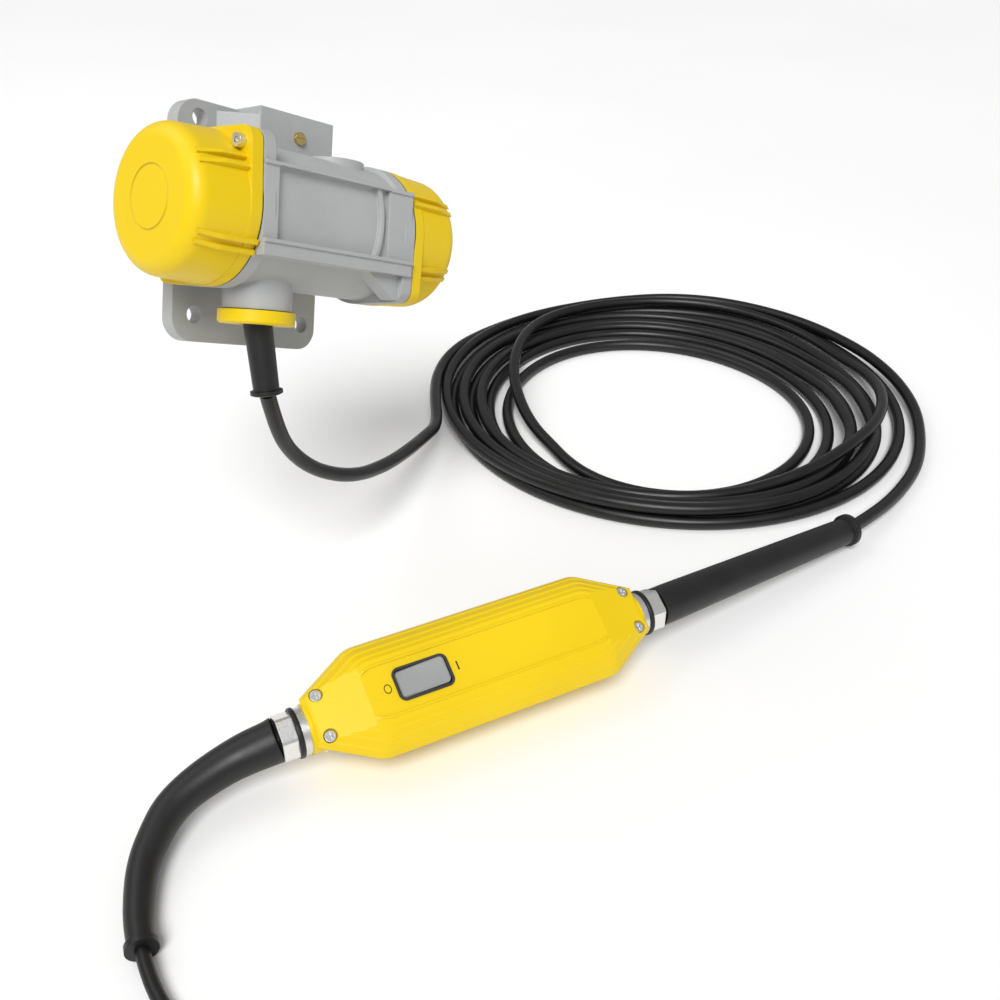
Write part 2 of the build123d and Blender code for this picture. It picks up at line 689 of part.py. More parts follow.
# The rocker turns on a pin across the frame and tips to either side.
ROCKER_PIVOT_Z = SHELL_FACE - 3.0
ROCKER_TIP = 6.0  # degrees to either side; drawn at rest with its off side pressed
with BuildPart() as rocker:
    with BuildSketch(Plane.XY.offset(ROCKER_PIVOT_Z - 0.5)):
        with Locations((SWITCH_X, 0)):
            RectangleRounded(32.6, 17.6, 2.8)
    extrude(amount=5.4)
    chamfer(rocker.edges().group_by(Axis.Z)[-1], 0.9)
    with Locations((SWITCH_X, 0, ROCKER_PIVOT_Z - 2)):
        Cylinder(3, 14.0, rotation=(90, 0, 0))
    with Locations((SWITCH_X, 0, ROCKER_PIVOT_Z)):
        Cylinder(1.05, 20, rotation=(90, 0, 0), mode=Mode.SUBTRACT)
PIVOT = Pos(SWITCH_X, 0, ROCKER_PIVOT_Z)
rocker.part.move(PIVOT * Rot(0, -ROCKER_TIP, 0) * PIVOT.inverse())
save_converter(rocker, "switch_rocker")

with BuildPart() as rocker_pin:
    with Locations((SWITCH_X, 0, ROCKER_PIVOT_Z)):
        Cylinder(1.0, 18.6, rotation=(90, 0, 0))
save_converter(rocker_pin, "rocker_pin")

with BuildPart() as circuit_board:
    with Locations((18, 0, -6)):
        Box(120, 34, 1.6)
save_converter(circuit_board, "circuit_board")

with BuildPart() as capacitors:
    with Locations((10, 0, 4.8)):
        with GridLocations(24, 0, 2, 1):
            Cylinder(9, 20)
save_converter(capacitors, "capacitors")

with BuildPart() as heat_sink:
    with Locations((58, 0, -2.7)):
        Box(30, 26, 5)
    with Locations((58, 0, 4.8)):
        with GridLocations(6, 0, 5, 1):
            Box(2, 26, 10)
save_converter(heat_sink, "heat_sink")

FLANGE_END = SHELL_LEN / 2 + 4.6
COLLAR_END = FLANGE_END + 3.5
SPIGOT_START = SHELL_LEN / 2 - 7.0
NUT_END = COLLAR_END + 9.9
for side_name, side in SIDES.items():
    bore = MAINS_R if side < 0 else LEAD_R
    with BuildPart() as collar:
        with BuildSketch(Plane.YZ.offset(side * SPIGOT_START)):
            Circle(11.4)
            Circle(bore + 0.4, mode=Mode.SUBTRACT)
        extrude(amount=side * (COLLAR_END - SPIGOT_START))
        with BuildSketch(Plane.YZ.offset(side * (SHELL_LEN / 2))):
            Circle(15.0)
            Circle(bore + 0.4, mode=Mode.SUBTRACT)
        extrude(amount=side * (FLANGE_END - SHELL_LEN / 2))
    save_converter(collar, f"{side_name}_collar")
    with BuildPart() as seal_ring:
        with BuildSketch(Plane.YZ.offset(side * FLANGE_END)):
            Circle(16.2)
            Circle(11.4, mode=Mode.SUBTRACT)
        extrude(amount=side * (COLLAR_END - FLANGE_END))
        fillet(seal_ring.edges().filter_by(GeomType.CIRCLE).filter_by(lambda e: e.radius > 15), 1.2)
    save_converter(seal_ring, f"{side_name}_seal_ring")
    with BuildPart() as nut:
        with BuildSketch(Plane.YZ.offset(side * COLLAR_END)):
            RegularPolygon(15.6, 6)
            Circle(bore + 0.4, mode=Mode.SUBTRACT)
        extrude(amount=side * (NUT_END - COLLAR_END))
        with BuildSketch(Plane.YZ.offset(side * COLLAR_END)):
            Circle(15.0)
            Circle(bore, mode=Mode.SUBTRACT)
        extrude(amount=side * (NUT_END - COLLAR_END), mode=Mode.INTERSECT)
    save_converter(nut, f"{side_name}_gland_nut")


# ================= cords =================
def route_path(points):
    """Straight runs joined by the largest tangent arcs that their runs allow."""
    corners = [Vector(*p) for p in points]
    radii = []
    for before, at, after in zip(corners, corners[1:], corners[2:]):
        turn = math.radians((at - before).get_angle(after - at))
        shorter = min((at - before).length, (after - at).length)
        radii.append(0.45 * shorter / math.tan(turn / 2))
    with BuildLine() as line:
        FilletPolyline(*corners, radius=radii)
    return line.wires()[0]


def cord_tube(points, radius):
    """A plain round tube along a route."""
    wire = route_path(points)
    with BuildPart() as tube:
        with BuildSketch(Plane(origin=wire @ 0, z_dir=wire % 0)):
            Circle(radius)
        sweep(path=wire)
    return tube


def in_row(place, x, y, z):
    """A point of a placed sub-assembly, in the row's frame."""
    return (place * Pos(x, y, z)).position


nut_right = in_row(CONVERTER, NUT_END, 0, 0)
nut_left = in_row(CONVERTER, -NUT_END, 0, 0)

# The long protector on the lead's side is straight and lies down to the floor.
RIGHT_TIP = Vector(313, -335, FLOOR + 15.5)
right_dir = (RIGHT_TIP - nut_right).normalized()
right_len = (RIGHT_TIP - nut_right).length
across_tip = Plane(origin=nut_right, z_dir=right_dir).x_dir
with BuildPart() as right_protector:
    side_plane = Plane(origin=nut_right, x_dir=across_tip, z_dir=across_tip.cross(right_dir))
    up = 1 if side_plane.y_dir.dot(right_dir) > 0 else -1
    with BuildSketch(side_plane):
        Polygon(
            (LEAD_R, 0),
            (14.0, 0),
            (14.0, up * 14),
            (10.8, up * (right_len - 6)),
            (13.0, up * (right_len - 5)),
            (13.0, up * (right_len - 1)),
            (11.0, up * right_len),
            (LEAD_R, up * right_len),
            align=None,
        )
    revolve(axis=Axis(nut_right, right_dir))
save(right_protector, "right_bend_protector")

# The one on the mains side bends round to the front.
LEFT_ROUTE = [
    (nut_left.X, nut_left.Y, nut_left.Z),
    (-183, -190, FLOOR + 27),
    (-222, -186, FLOOR + 20),
    (-255, -206, FLOOR + 13),
    (-275, -233, FLOOR + 9.6),
    (-284, -252, FLOOR + 9.4),
]
left_wire = route_path(LEFT_ROUTE)
LEFT_STEPS = 12
with BuildPart() as left_protector:
    for step in range(LEFT_STEPS + 1):
        share = step / LEFT_STEPS
        with BuildSketch(Plane(origin=left_wire @ share, z_dir=left_wire % share)):
            Circle(14.4 - 7.0 * share**0.8)
    loft()
    end_dir = left_wire % 1
    with BuildSketch(Plane(origin=(left_wire @ 1) - end_dir * 4, z_dir=end_dir)):
        Circle(9.2)
    extrude(amount=4)
save(left_protector, "left_bend_protector")

# Motor lead: from the sleeve down to the coil.
SLEEVE_OUT = in_row(HELD, SLEEVE_END.X, SLEEVE_END.Y, SLEEVE_END.Z)
MOTOR_LEAD = [
    (SLEEVE_OUT.X, SLEEVE_OUT.Y, SLEEVE_OUT.Z),
    (-45, -77, -106),
    (-31, -68, -137),
    (-7, -64, -166),
    (30, -60, -190),
    (75, -44, -208),
    (116, -25, -220),
    (156, -3, -232),
    (193, 18, FLOOR + 21),
]
motor_lead = cord_tube(MOTOR_LEAD, LEAD_R)
save(motor_lead, "motor_lead")

# Coil of the motor lead: its turns drift, so the hole sits off the outline's centre.
COIL_X = 412.0
COIL_Y = -77.0
COIL_R = 234.0
COIL_HOLE_X = 372.0
COIL_HOLE_Y = -97.0
COIL_HOLE_R = 146.0
COIL_HEIGHT = 23.0
with BuildPart() as lead_coil:
    with BuildSketch(Plane.XY.offset(FLOOR)):
        with Locations((COIL_X, COIL_Y)):
            Circle(COIL_R)
        with Locations((COIL_HOLE_X, COIL_HOLE_Y)):
            Circle(COIL_HOLE_R, mode=Mode.SUBTRACT)
    extrude(amount=COIL_HEIGHT)
    fillet(lead_coil.edges().group_by(Axis.Z)[-1], 7)
save(lead_coil, "motor_lead_coil")

# From the coil's far side round to the straight protector.
END_LEAD = [
    (606, -206, FLOOR + 15),
    (584, -243, FLOOR + 12),
    (550, -278, FLOOR + 8.6),
    (504, -306, FLOOR + 6.4),
    (455, -326, FLOOR + 6.0),
    (405, -334, FLOOR + 7.0),
    (357, -337, FLOOR + 11),
    (RIGHT_TIP.X, RIGHT_TIP.Y, RIGHT_TIP.Z),
]
end_lead = cord_tube(END_LEAD, LEAD_R)
save(end_lead, "converter_lead")

# Mains lead: out of the curved protector to a small put-away coil, then the plug.
MAINS_LEAD = [
    tuple(left_wire @ 1),
    (-292, -272.5, FLOOR + 6.8),
    (-294, -304.5, FLOOR + 4.6),
    (-292, -336, FLOOR + 4.3),
]
mains_lead = cord_tube(MAINS_LEAD, MAINS_R)
save(mains_lead, "mains_lead")
MAINS_COIL_X = -352.0
MAINS_COIL_Y = -352.0
MAINS_COIL_R = 62.0
MAINS_HOLE_R = 32.0
with BuildPart() as mains_coil:
    with BuildSketch(Plane.XY.offset(FLOOR)):
        with Locations((MAINS_COIL_X, MAINS_COIL_Y)):
            Circle(MAINS_COIL_R)
            Circle(MAINS_HOLE_R, mode=Mode.SUBTRACT)
    extrude(amount=25)
    fillet(mains_coil.edges().group_by(Axis.Z)[-1], 6)
save(mains_coil, "mains_coil")

# The plug lies beside the mains coil, at the end of the lead that leaves it.
PLUG_X = -410.0
PLUG_Y = -303.0
PLUG_YAW = 93.0
PLUG_R = 21.0
PLUG = Pos(PLUG_X, PLUG_Y, FLOOR + PLUG_R) * Rot(0, 0, PLUG_YAW)
with BuildPart() as plug_body:
    with BuildSketch(Plane.XZ):
        Polygon(
            (0, 0),
            (0, 6.0),
            (26, 8.5),
            (34, 15),
            (52, 20),
            (66, PLUG_R),
            (70, PLUG_R),
            (70, 0),
            align=None,
        )
    revolve(axis=Axis.X)
    with Locations((4, 0, 0)):
        Cylinder(MAINS_R, 30, rotation=(0, 90, 0), mode=Mode.SUBTRACT)
    with Locations((70, 0, 0)):
        with Locations((0, 9.5, 0), (0, -9.5, 0)):
            Cylinder(2.4, 24, rotation=(0, 90, 0), mode=Mode.SUBTRACT)
plug_body.part.move(PLUG)
save(plug_body, "mains_plug")

with BuildPart() as plug_pins:
    with Locations((73.5, 9.5, 0), (73.5, -9.5, 0)):
        Cylinder(2.4, 31, rotation=(0, 90, 0))
    chamfer(plug_pins.edges().filter_by(GeomType.CIRCLE).group_by(Axis.X)[-1], 0.8)
plug_pins.part.move(PLUG)
save(plug_pins, "plug_pins")

plug_mouth = in_row(PLUG, 0, 0, 0)
PLUG_TAIL = [
    (-408.5, -342, FLOOR + 14),
    (-409.5, -322, FLOOR + 19),
    (plug_mouth.X, plug_mouth.Y, plug_mouth.Z),
]
plug_tail = cord_tube(PLUG_TAIL, MAINS_R)
save(plug_tail, "plug_tail")
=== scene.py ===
import json
import math

import bmesh
import bpy
from mathutils import Matrix, Vector


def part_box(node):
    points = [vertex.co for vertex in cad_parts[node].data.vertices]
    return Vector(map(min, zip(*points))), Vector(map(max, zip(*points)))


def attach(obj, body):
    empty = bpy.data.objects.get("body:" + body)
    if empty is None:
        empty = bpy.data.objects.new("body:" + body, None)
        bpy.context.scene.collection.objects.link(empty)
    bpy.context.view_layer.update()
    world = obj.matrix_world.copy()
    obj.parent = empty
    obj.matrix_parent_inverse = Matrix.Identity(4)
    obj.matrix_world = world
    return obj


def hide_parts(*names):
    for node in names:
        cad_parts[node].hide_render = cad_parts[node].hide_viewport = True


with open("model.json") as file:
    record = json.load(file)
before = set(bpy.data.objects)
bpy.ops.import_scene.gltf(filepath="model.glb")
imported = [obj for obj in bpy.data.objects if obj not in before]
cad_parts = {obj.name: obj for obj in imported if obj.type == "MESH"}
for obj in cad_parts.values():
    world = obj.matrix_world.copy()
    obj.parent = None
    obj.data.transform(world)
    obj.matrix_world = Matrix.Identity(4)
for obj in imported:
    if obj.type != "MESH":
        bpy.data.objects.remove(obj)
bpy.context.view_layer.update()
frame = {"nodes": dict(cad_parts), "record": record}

FLOOR = -0.266
LEAD_D = 0.0108
MAINS_D = 0.0082
scene = bpy.context.scene


# ---------------- camera ----------------
# Fitted to the photo: where it was taken from, which way it looks, and its lens.
cam_data = bpy.data.cameras.new("camera")
cam_data.lens = 39.6
cam_data.sensor_width = 36.0
cam = bpy.data.objects.new("camera", cam_data)
scene.collection.objects.link(cam)
cam.location = (-0.40856, -0.63036, 0.26279)
cam.rotation_mode = "QUATERNION"
cam.rotation_quaternion = Vector((0.6035, 0.5725, -0.5550)).to_track_quat("-Z", "Y")
scene.camera = cam


# ---------------- node helpers ----------------
class Shader:
    """A material with a principled shader and short calls for the nodes that feed it."""

    def __init__(self, name, **sockets):
        self.mat = bpy.data.materials.new(name)
        self.mat.use_nodes = True
        self.tree = self.mat.node_tree
        self.bsdf = self.tree.nodes["Principled BSDF"]
        self.coords = self.tree.nodes.new("ShaderNodeTexCoord").outputs["Object"]
        for socket, value in sockets.items():
            self.bsdf.inputs[socket.replace("_", " ")].default_value = value

    def node(self, kind, **settings):
        made = self.tree.nodes.new(kind)
        for key, value in settings.items():
            setattr(made, key, value)
        return made

    def link(self, source, target):
        self.tree.links.new(source, target)

    def noise(self, scale, detail=3.0, rough=0.55, stretch=None):
        made = self.node("ShaderNodeTexNoise")
        made.inputs["Scale"].default_value = scale
        made.inputs["Detail"].default_value = detail
        made.inputs["Roughness"].default_value = rough
        source = self.coords
        if stretch:
            mapping = self.node("ShaderNodeMapping")
            mapping.inputs["Scale"].default_value = stretch
            self.link(self.coords, mapping.inputs["Vector"])
            source = mapping.outputs["Vector"]
        self.link(source, made.inputs["Vector"])
        return made.outputs["Fac"]

    def spots(self, scale):
        made = self.node("ShaderNodeTexVoronoi")
        made.inputs["Scale"].default_value = scale
        self.link(self.coords, made.inputs["Vector"])
        return made.outputs["Distance"]

    def ramp(self, fac, stops):
        made = self.node("ShaderNodeValToRGB")
        while len(made.color_ramp.elements) < len(stops):
            made.color_ramp.elements.new(0.5)
        for element, (at, colour) in zip(made.color_ramp.elements, stops):
            element.position = at
            element.color = (*colour, 1.0)
        self.link(fac, made.inputs["Fac"])
        return made.outputs["Color"]

    def span(self, fac, low, high, start=0.0, end=1.0):
        made = self.node("ShaderNodeMapRange")
        for key, value in (("From Min", start), ("From Max", end), ("To Min", low), ("To Max", high)):
            made.inputs[key].default_value = value
        self.link(fac, made.inputs["Value"])
        return made.outputs["Result"]

    def blend(self, fac, one, two):
        made = self.node("ShaderNodeMix", data_type="RGBA")
        self.link(fac, made.inputs["Factor"])
        self.link(one, made.inputs["A"])
        self.link(two, made.inputs["B"])
        return made.outputs["Result"]

    def edges(self, radius):
        """1 along edges and 0 elsewhere, by comparing the bevelled normal with the true one; it places the
        painted edge highlights.
        """
        bevel = self.node("ShaderNodeBevel", samples=6)
        bevel.inputs["Radius"].default_value = radius
        geometry = self.node("ShaderNodeNewGeometry")
        dot = self.node("ShaderNodeVectorMath", operation="DOT_PRODUCT")
        self.link(bevel.outputs["Normal"], dot.inputs[0])
        self.link(geometry.outputs["Normal"], dot.inputs[1])
        return self.span(dot.outputs["Value"], 1.0, 0.0, 0.75, 0.98)

    def bumps(self, layers, edge=0.0):
        """Stacks bump layers (height, strength, distance) over a softened edge."""
        under = None
        if edge:
            bevel = self.node("ShaderNodeBevel", samples=6)
            bevel.inputs["Radius"].default_value = edge
            under = bevel.outputs["Normal"]
        for height, strength, distance in layers:
            bump = self.node("ShaderNodeBump")
            bump.inputs["Strength"].default_value = strength
            bump.inputs["Distance"].default_value = distance
            self.link(height, bump.inputs["Height"])
            if under:
                self.link(under, bump.inputs["Normal"])
            under = bump.outputs["Normal"]
        self.link(under, self.bsdf.inputs["Normal"])

    def colour(self, source):
        self.link(source, self.bsdf.inputs["Base Color"])

    def rough(self, source):
        self.link(source, self.bsdf.inputs["Roughness"])


def grey_casting():
    """Grey paint on a sand casting: a fine pitted grain that shows through, and a painted highlight that
    makes every edge paler.
    """
    s = Shader("grey_casting", Metallic=0.0, Coat_Weight=0.12, Coat_Roughness=0.35)
    broad = s.noise(14, 4, 0.6)
    grain = s.noise(900, 3, 0.65)
    pits = s.spots(520)
    base = s.ramp(broad, [(0.30, (0.375, 0.385, 0.386)), (0.70, (0.440, 0.450, 0.451))])
    # painted highlight: a paler copy of the grey, blended in along every edge
    edge_highlight_grey = s.ramp(broad, [(0.30, (0.50, 0.51, 0.51)), (0.70, (0.56, 0.57, 0.57))])
    s.colour(s.blend(s.span(s.edges(0.0014), 0.0, 0.55), base, edge_highlight_grey))
    s.rough(s.span(grain, 0.40, 0.62, 0.3, 0.7))
    s.bumps([(broad, 0.10, 0.002), (pits, 0.18, 0.0004), (grain, 0.42, 0.00035)], edge=0.0012)
    return s.mat


def yellow_paint():
    """Satin powder coat: orange peel, a faint mottle and a painted highlight that makes every edge a
    brighter yellow.
    """
    s = Shader("yellow_paint", Metallic=0.0, Coat_Weight=0.05, Coat_Roughness=0.25, Specular_IOR_Level=0.32)
    broad = s.noise(9, 3, 0.5)
    peel = s.noise(420, 2, 0.5)
    base = s.ramp(broad, [(0.30, (0.760, 0.530, 0.001)), (0.70, (0.820, 0.580, 0.002))])
    # painted highlight: a brighter copy of the yellow, blended in along every edge
    edge_highlight_yellow = s.ramp(broad, [(0.30, (0.86, 0.66, 0.015)), (0.70, (0.90, 0.71, 0.02))])
    s.colour(s.blend(s.span(s.edges(0.001), 0.0, 0.5), base, edge_highlight_yellow))
    s.rough(s.span(peel, 0.36, 0.48, 0.3, 0.7))
    s.bumps([(peel, 0.16, 0.0003), (s.noise(60, 2, 0.5), 0.05, 0.001)], edge=0.0011)
    return s.mat


def rubber(name, colour, rough_low, rough_high, grain_scale, strength, haze):
    """Moulded or extruded rubber: dark, with a faint grey haze and a fine grain."""
    s = Shader(name, Metallic=0.0, Specular_IOR_Level=0.45)
    broad = s.noise(35, 4, 0.6)
    grain = s.noise(grain_scale, 3, 0.6)
    hazy = tuple(c + haze for c in colour)
    s.colour(s.ramp(broad, [(0.35, colour), (0.75, hazy)]))
    s.rough(s.span(broad, rough_low, rough_high, 0.3, 0.7))
    s.bumps([(grain, strength, 0.0003), (s.spots(grain_scale * 0.5), strength * 0.4, 0.0003)], edge=0.0005)
    return s.mat


def metal(name, dark, light, rough_low, rough_high, stretch=None, scale=260, strength=0.12, edge=0.0004):
    """Bare or plated metal: streaked or crystalline colour, roughness that follows it."""
    s = Shader(name, Metallic=1.0)
    fine = s.noise(scale, 4, 0.6, stretch)
    broad = s.noise(30, 3, 0.5)
    crystals = s.ramp(fine, [(0.3, dark), (0.7, light)])
    stains = s.ramp(broad, [(0.3, light), (0.7, dark)])
    s.colour(s.blend(s.span(broad, 0.2, 0.8, 0.3, 0.7), crystals, stains))
    s.rough(s.span(fine, rough_low, rough_high, 0.3, 0.7))
    s.bumps([(fine, strength, 0.0002)], edge=edge)
    return s.mat


def plastic(name, dark, light, rough_low, rough_high, scale=700, strength=0.2):
    """Moulded plastic with a fine spark-eroded texture."""
    s = Shader(name, Metallic=0.0, Specular_IOR_Level=0.5)
    grain = s.noise(scale, 2, 0.6)
    broad = s.noise(25, 3, 0.5)
    s.colour(s.ramp(broad, [(0.3, dark), (0.7, light)]))
    s.rough(s.span(grain, rough_low, rough_high, 0.3, 0.7))
    s.bumps([(grain, strength, 0.00025)], edge=0.0005)
    return s.mat


MATS = {
    "grey_casting": grey_casting(),
    "yellow_paint": yellow_paint(),
    "black_rubber": rubber("black_rubber", (0.0055, 0.0055, 0.006), 0.38, 0.52, 900, 0.2, 0.005),
    "cable_rubber": rubber("cable_rubber", (0.0030, 0.0030, 0.0034), 0.32, 0.46, 1300, 0.12, 0.003),
    "plug_rubber": rubber("plug_rubber", (0.014, 0.014, 0.015), 0.45, 0.62, 800, 0.28, 0.010),
    "zinc_steel": metal("zinc_steel", (0.66, 0.68, 0.70), (0.80, 0.81, 0.82), 0.28, 0.42, None, 900, 0.05),
    "nickel_brass": metal(
        "nickel_brass", (0.78, 0.78, 0.77), (0.90, 0.90, 0.88), 0.26, 0.40, None, 1100, 0.03
    ),
    "aluminium": metal("aluminium", (0.66, 0.67, 0.69), (0.82, 0.83, 0.84), 0.28, 0.45, (6, 1, 1), 300),
    "brass": metal("brass", (0.55, 0.38, 0.13), (0.78, 0.58, 0.24), 0.25, 0.42, None, 500),
    "steel": metal("steel", (0.34, 0.34, 0.36), (0.56, 0.56, 0.58), 0.25, 0.45, (1, 8, 8), 260),
    "bearing_steel": metal(
        "bearing_steel", (0.48, 0.48, 0.50), (0.66, 0.66, 0.68), 0.10, 0.20, None, 300, 0.05
    ),
    "stator_steel": metal(
        "stator_steel", (0.16, 0.16, 0.17), (0.30, 0.30, 0.31), 0.45, 0.65, (60, 1, 1), 120, 0.3
    ),
    "copper": metal("copper", (0.42, 0.16, 0.07), (0.66, 0.30, 0.14), 0.25, 0.45, (1, 10, 10), 300, 0.3),
    "dark_plastic": plastic("dark_plastic", (0.020, 0.020, 0.022), (0.032, 0.032, 0.035), 0.42, 0.56),
    "grey_plastic": plastic(
        "grey_plastic", (0.250, 0.254, 0.256), (0.310, 0.314, 0.316), 0.26, 0.38, 700, 0.08
    ),
    "board": plastic("board", (0.02, 0.09, 0.04), (0.03, 0.13, 0.06), 0.35, 0.50, 300),
    "capacitor_sleeve": plastic(
        "capacitor_sleeve", (0.012, 0.014, 0.03), (0.02, 0.022, 0.045), 0.18, 0.28, 200, 0.05
    ),
}
FINISHES = {
    "grey_casting": ["motor_housing", "left_bearing_shield", "right_bearing_shield"],
    "yellow_paint": [
        "left_end_cap", "right_end_cap", "terminal_cover", "converter_top_shell", "converter_bottom_shell",
    ],
    "black_rubber": [
        "lead_sleeve", "left_bend_protector", "right_bend_protector", "left_cap_gasket", "right_cap_gasket",
        "terminal_cover_seal", "left_seal_ring", "right_seal_ring",
    ],
    "cable_rubber": [
        "motor_lead", "motor_lead_coil", "converter_lead", "mains_lead", "mains_coil", "plug_tail",
    ],
    "plug_rubber": ["mains_plug"],
    "zinc_steel": ["left_cap_screws", "right_cap_screws", "converter_screws", "shaft_circlips"],
    "nickel_brass": ["left_gland_nut", "right_gland_nut", "plug_pins"],
    "aluminium": ["left_collar", "right_collar", "heat_sink", "rotor_core"],
    "brass": ["earth_screw", "terminal_screws"],
    "steel": [
        "rotor_shaft", "weight_keys", "weight_spacers", "rocker_pin",
        "left_fixed_weight", "right_fixed_weight", "left_outer_weight", "right_outer_weight",
    ],
    "bearing_steel": [
        f"{side}_bearing_{part}"
        for side in ("left", "right")
        for part in ("balls", "inner_ring", "outer_ring")
    ],
    "stator_steel": ["stator_core"],
    "copper": ["stator_windings"],
    "dark_plastic": ["switch_frame", "switch_body", "terminal_block"],
    "grey_plastic": ["switch_rocker"],
    "board": ["circuit_board"],
    "capacitor_sleeve": ["capacitors"],
}
for finish, names in FINISHES.items():
    for name in names:
        piece = frame["nodes"][name]
        piece.data.materials.clear()
        piece.data.materials.append(MATS[finish])


# ---------------- cords ----------------
def spline_curve(name, points, diameter, finish):
    """A round cord along one NURBS spline whose control points are the given ones."""
    data = bpy.data.curves.new(name, "CURVE")
    data.dimensions = "3D"
    data.bevel_depth = diameter / 2
    data.bevel_resolution = 5
    data.resolution_u = 6
    data.use_fill_caps = True
    line = data.splines.new("NURBS")
    line.points.add(len(points) - 1)
    for at, point in zip(line.points, points):
        at.co = (*point, 1.0)
    line.order_u = 3
    line.use_endpoint_u = True
    data.materials.append(MATS[finish])
    made = bpy.data.objects.new(name, data)
    scene.collection.objects.link(made)
    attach(made, "frame")
    return made


def eased(keys, t):
    """The values at t, between keys of (t, values), eased in and out of each key."""
    for (t0, *v0), (t1, *v1) in zip(keys, keys[1:]):
        if t <= t1:
            share = (t - t0) / (t1 - t0)
            share = share * share * (3 - 2 * share)
            return [a + (b - a) * share for a, b in zip(v0, v1)]
    return list(keys[-1][1:])


# Motor lead: held at the sleeve, down to the floor, into the coil, and out to the converter.
MOTOR_LEAD = [
    (-0.0527, -0.0837, -0.0768),
    (-0.045, -0.077, -0.106),
    (-0.031, -0.068, -0.137),
    (-0.007, -0.064, -0.166),
    (0.030, -0.060, -0.190),
    (0.075, -0.044, -0.207),
    (0.116, -0.025, -0.219),
    (0.156, -0.003, -0.231),
    (0.190, 0.016, -0.2405),
]
END_LEAD = [
    (0.606, -0.206, FLOOR + 0.0150),
    (0.584, -0.243, FLOOR + 0.0120),
    (0.550, -0.278, FLOOR + 0.0086),
    (0.504, -0.306, FLOOR + 0.0064),
    (0.455, -0.326, FLOOR + 0.0060),
    (0.405, -0.334, FLOOR + 0.0070),
    (0.357, -0.337, FLOOR + 0.0110),
    (0.313, -0.335, FLOOR + 0.0155),
]
# Where each quarter turn lies: quarter number, place across the ring (0 its hole, 1 its rim), and layer.
COIL_KEYS = [
    (0, 1.0, 2.0), (0.35, 0.985, 1.1), (0.8, 0.97, 0), (1, 0.98, 0), (1.6, 1.0, 0), (2, 0.96, 0),
    (3, 1.07, 0), (4, 0.71, 0), (5, 0.76, 0), (5.6, 0.80, 0), (6, 0.68, 0), (7, 0.80, 0), (8, 0.42, 0),
    (9, 0.53, 0), (10, 0.40, 0), (11, 0.51, 0), (12, 0.13, 0), (13, 0.29, 0), (14, 0.14, 0),
    (15, 0.21, 0), (16, -0.16, 0), (17, 0.06, 0), (18, -0.04, 0), (19, -0.11, 0), (20, -0.67, 0.25),
    (20.35, -0.30, 1.0), (20.65, 0.25, 2.0), (20.9, 0.60, 1.6), (21.1, 0.72, 1.3), (21.5, 0.86, 1.0),
    (21.75, 0.885, 0.55), (22, 0.83, 0.15), (22.2, 0.83, 1.0), (22.4, 0.76, 2.0), (22.7, 0.52, 2.0),
    (23, 0.28, 1.0), (23.5, 0.34, 1.1), (24, 0.27, 0.9), (24.5, 0.33, 0.95), (25, 0.39, 0.35),
    (26, 0.27, 0.1), (26.3, 0.29, 1.0), (26.5, 0.43, 1.05), (27, 0.62, 0.95), (27.5, 0.60, 1.05),
    (28, 0.56, 0.9), (28.5, 0.59, 0.9), (29, 0.62, 0.3), (30, 0.54, 0.1), (30.3, 0.56, 1.0),
    (30.5, 0.68, 1.05), (31, 0.85, 0.9), (31.5, 0.86, 1.05), (32, 0.85, 0.9), (32.5, 0.86, 0.9),
    (33, 0.88, 0.5), (33.5, 0.95, 1.0), (34.1, 1.0, 0.98),
]
# The coil's ring: its rim and its hole are circles about different centres.
RIM = Vector((0.412, -0.077))
RIM_R = 0.234 - LEAD_D / 2
HOLE = Vector((0.372, -0.097))
HOLE_R = 0.146 + LEAD_D / 2
START = 155.8  # degrees; the turns go clockwise from here
PER_QUARTER = 6
LAYER_STEP = 0.0104
FLOOR_GAP = 0.0003
DRIFT = 0.0012  # how far a turn wanders, so that no two lie quite alike
coil_points = []
for step in range(1, round(COIL_KEYS[-1][0] * PER_QUARTER)):
    quarter = step / PER_QUARTER
    share, layer = eased(COIL_KEYS, quarter)
    angle = math.radians(START - 90 * quarter)
    way = Vector((math.cos(angle), math.sin(angle)))
    rim = RIM + way * RIM_R
    hole = HOLE + way * HOLE_R
    drift = DRIFT * math.sin(1.7 * quarter + 0.4) * (0.4 + 0.6 * math.cos(angle) ** 2)
    at = hole.lerp(rim, share) + way * drift
    coil_points.append((at.x, at.y, FLOOR + LEAD_D / 2 + FLOOR_GAP + LAYER_STEP * layer))
lead = spline_curve("motor_lead_cord", MOTOR_LEAD + coil_points + END_LEAD, LEAD_D, "cable_rubber")
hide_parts("motor_lead", "motor_lead_coil", "converter_lead")

# Mains lead: out of the curved protector into a small put-away coil, and then the plug.
MAINS_LEAD = [
    (-0.284, -0.252, FLOOR + 0.0094),
    (-0.292, -0.2725, FLOOR + 0.0068),
    (-0.294, -0.3045, FLOOR + 0.0046),
]
PLUG_TAIL = [
    (-0.4085, -0.342, FLOOR + 0.014),
    (-0.4095, -0.322, FLOOR + 0.019),
    (-0.410, -0.303, FLOOR + 0.021),
]
MAINS_CENTRE = Vector((-0.352, -0.352))
